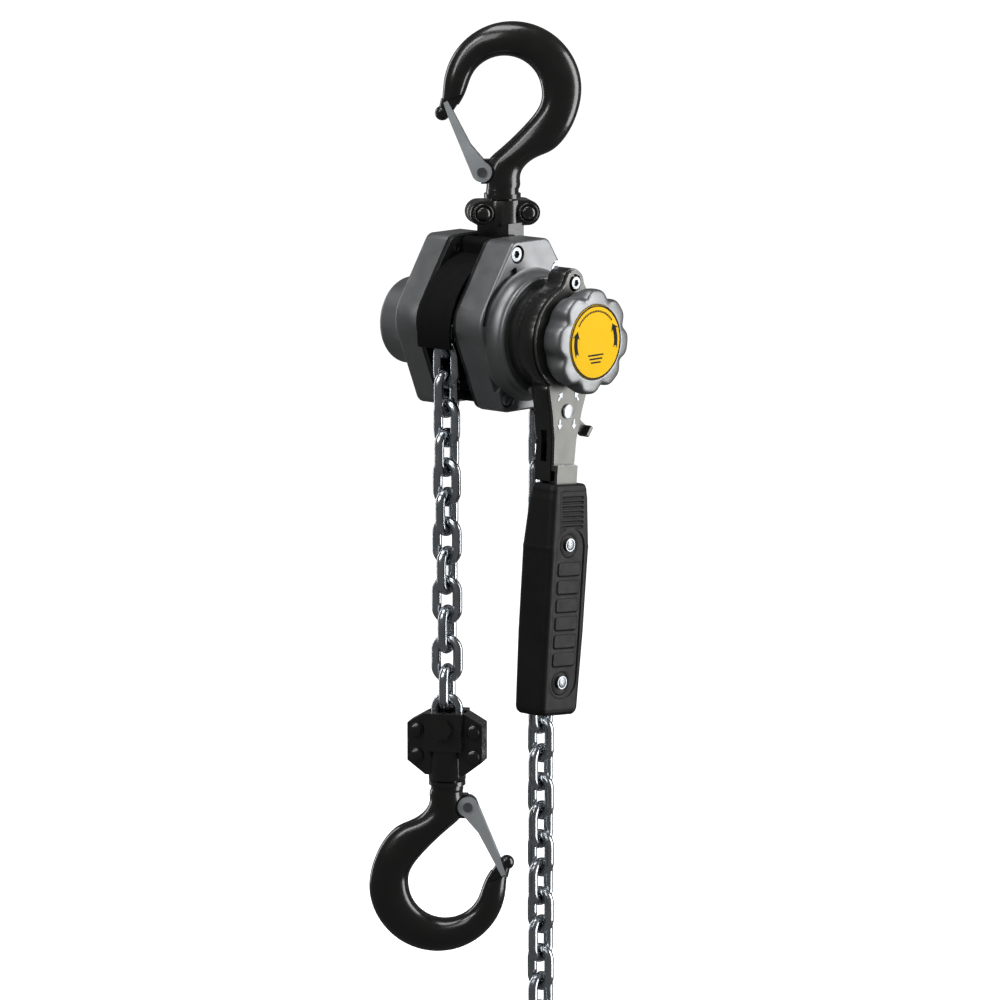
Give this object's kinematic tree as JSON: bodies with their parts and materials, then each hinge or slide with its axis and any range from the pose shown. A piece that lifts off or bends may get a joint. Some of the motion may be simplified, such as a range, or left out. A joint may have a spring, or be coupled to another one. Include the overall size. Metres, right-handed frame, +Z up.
{
  "type": "lever chain hoist",
  "caption": "Hand lever chain hoist with swivel top and bottom safety hooks, hand wheel, gripped ratchet lever, welded load chain and riveted load block.",
  "frame": {"origin": "on the drive shaft's axis, half way between the two side plates", "axes": "+Z up towards the top hook; the drive shaft runs along Y with the hand wheel and lever at -Y and the gear cover at +Y; the load chain hangs at -X and the slack chain at +X"},
  "size_m": [0.1526, 0.1794, 0.7612],
  "materials": {
    "black_plate": "black electrophoretic coat, semi-gloss",
    "zinc_steel": "zinc-plated steel",
    "machined_steel": "machined steel, oiled",
    "bronze_bush": "sintered bronze",
    "friction_lining": "moulded brake lining",
    "silver_cast": "satin dark-silver paint over a casting",
    "lever_steel": "satin grey paint with bright edges",
    "black_steel": "black paint, semi-gloss",
    "black_grip": "textured black rubber",
    "yellow_label": "yellow printed disc with dark rim and arrows",
    "forged_black": "gloss black coat over a forging",
    "zinc_chain": "bright zinc-plated welded chain",
    "zinc_sheet": "zinc-plated pressed sheet",
    "spring_steel": "plated spring wire"
  },
  "bodies": {
    "hoist_body": {"brake_side_plate": "black_plate", "gear_side_plate": "black_plate", "frame_stays": "zinc_steel", "yoke_pin": "machined_steel", "sheave_bushes": "bronze_bush", "slack_guide_pegs": "machined_steel", "chain_guide": "black_steel", "chain_stripper": "black_steel", "gear_cover": "silver_cast", "gear_cover_screws": "zinc_steel", "brake_cover": "silver_cast", "brake_cover_screws": "zinc_steel", "brake_dust_ring": "black_steel", "idler_axles": "machined_steel", "bearing_carrier": "machined_steel", "pawl_pins": "machined_steel", "sheave_chain": "zinc_chain"},
    "top_yoke": {"yoke_front": "black_steel", "yoke_rear": "black_steel", "yoke_rivets": "black_steel"},
    "top_hook": {"top_hook": "forged_black", "top_latch_pin": "zinc_steel"},
    "top_latch": {"top_latch": "zinc_sheet", "top_latch_spring": "spring_steel"},
    "sheave": {"load_sheave": "black_steel", "load_gear": "machined_steel"},
    "idler_a": {"idler_gear_a": "machined_steel"},
    "idler_b": {"idler_gear_b": "machined_steel"},
    "drive": {"drive_shaft": "machined_steel", "brake_hub": "machined_steel", "friction_discs": "friction_lining", "ratchet_disc": "machined_steel", "pressure_flange": "machined_steel", "hand_wheel": "silver_cast", "wheel_label": "yellow_label", "wheel_nut": "zinc_steel"},
    "pawl_a": {"pawl_a": "machined_steel"},
    "pawl_b": {"pawl_b": "machined_steel"},
    "lever": {"lever_plate": "lever_steel", "lever_shell": "black_steel", "lever_fasteners": "zinc_steel", "lever_grip": "black_grip", "grip_screws": "zinc_steel"},
    "selector": {"selector_pin": "zinc_steel", "selector_lever": "lever_steel", "selector_pawl": "machined_steel"},
    "load_chain": {"load_chain": "zinc_chain"},
    "bottom_block": {"bottom_block_front": "black_steel", "bottom_block_rear": "black_steel", "bottom_block_rivets": "black_steel", "bottom_block_bolt": "black_steel"},
    "bottom_hook": {"bottom_hook": "forged_black", "bottom_latch_pin": "zinc_steel"},
    "bottom_latch": {"bottom_latch": "zinc_sheet", "bottom_latch_spring": "spring_steel"},
    "slack_chain": {"slack_chain": "zinc_chain", "chain_stop_ring": "zinc_chain"}
  },
  "joints": [
    {"name": "yoke_swing", "type": "hinge", "parent": "hoist_body", "child": "top_yoke", "pos_m": [0.014, 0, 0.0565], "axis": [0, 1, 0], "range_deg": [-4, 4]},
    {"name": "top_hook_swivel", "type": "hinge", "parent": "top_yoke", "child": "top_hook", "pos_m": [0.017, 0, 0.0915], "axis": [0, 0, 1], "continuous": true},
    {"name": "top_latch_open", "type": "hinge", "parent": "top_hook", "child": "top_latch", "pos_m": [0.0072, 0.01069, 0.11], "axis": [0.7373, 0.6756, 0], "range_deg": [0, 30], "stiffness_Nm_per_rad": 0.08, "springref_deg": -20.05},
    {"name": "sheave_spin", "type": "hinge", "parent": "hoist_body", "child": "sheave", "pos_m": [0, 0, 0], "axis": [0, 1, 0], "continuous": true},
    {"name": "idler_a_spin", "type": "hinge", "parent": "hoist_body", "child": "idler_a", "pos_m": [0.02482, 0, 0.00438], "axis": [0, 1, 0], "continuous": true},
    {"name": "idler_b_spin", "type": "hinge", "parent": "hoist_body", "child": "idler_b", "pos_m": [-0.02482, 0, -0.00438], "axis": [0, 1, 0], "continuous": true},
    {"name": "drive_spin", "type": "hinge", "parent": "hoist_body", "child": "drive", "pos_m": [0, 0, 0], "axis": [0, 1, 0], "continuous": true},
    {"name": "pawl_a_lift", "type": "hinge", "parent": "hoist_body", "child": "pawl_a", "pos_m": [-0.03074, 0, 0.01775], "axis": [0, 1, 0], "range_deg": [0, 8], "stiffness_Nm_per_rad": 0.02, "springref_deg": -17.19},
    {"name": "pawl_b_lift", "type": "hinge", "parent": "hoist_body", "child": "pawl_b", "pos_m": [0.03074, 0, 0.01775], "axis": [0, 1, 0], "range_deg": [0, 8], "stiffness_Nm_per_rad": 0.02, "springref_deg": -17.19},
    {"name": "lever_swing", "type": "hinge", "parent": "hoist_body", "child": "lever", "pos_m": [0, 0, 0], "axis": [0, 1, 0], "continuous": true},
    {"name": "selector_turn", "type": "hinge", "parent": "lever", "child": "selector", "pos_m": [-0.0044, 0, -0.05031], "axis": [0, 1, 0], "range_deg": [-18, 18]},
    {"name": "load_chain_swing", "type": "hinge", "parent": "hoist_body", "child": "load_chain", "pos_m": [-0.04075, 0, -0.04845], "axis": [0, 1, 0], "range_deg": [-3, 20]},
    {"name": "bottom_block_tilt", "type": "hinge", "parent": "load_chain", "child": "bottom_block", "pos_m": [-0.04075, 0, -0.279], "axis": [-0.866, -0.5, 0], "range_deg": [-6, 6]},
    {"name": "bottom_hook_swivel", "type": "hinge", "parent": "bottom_block", "child": "bottom_hook", "pos_m": [-0.04075, 0, -0.318], "axis": [0, 0, 1], "continuous": true},
    {"name": "bottom_latch_open", "type": "hinge", "parent": "bottom_hook", "child": "bottom_latch", "pos_m": [-0.03095, -0.01069, -0.3365], "axis": [0.7373, 0.6756, 0], "range_deg": [0, 30], "stiffness_Nm_per_rad": 0.08, "springref_deg": -20.05},
    {"name": "slack_chain_swing", "type": "hinge", "parent": "hoist_body", "child": "slack_chain", "pos_m": [0.058, 0, 0.00507], "axis": [0, 1, 0], "range_deg": [-20, 2]}
  ],
  "couplings": [
    {"joint": "idler_a_spin", "follows": "sheave_spin", "ratio": -3},
    {"joint": "idler_b_spin", "follows": "sheave_spin", "ratio": -3},
    {"joint": "drive_spin", "follows": "sheave_spin", "ratio": 9}
  ]
}
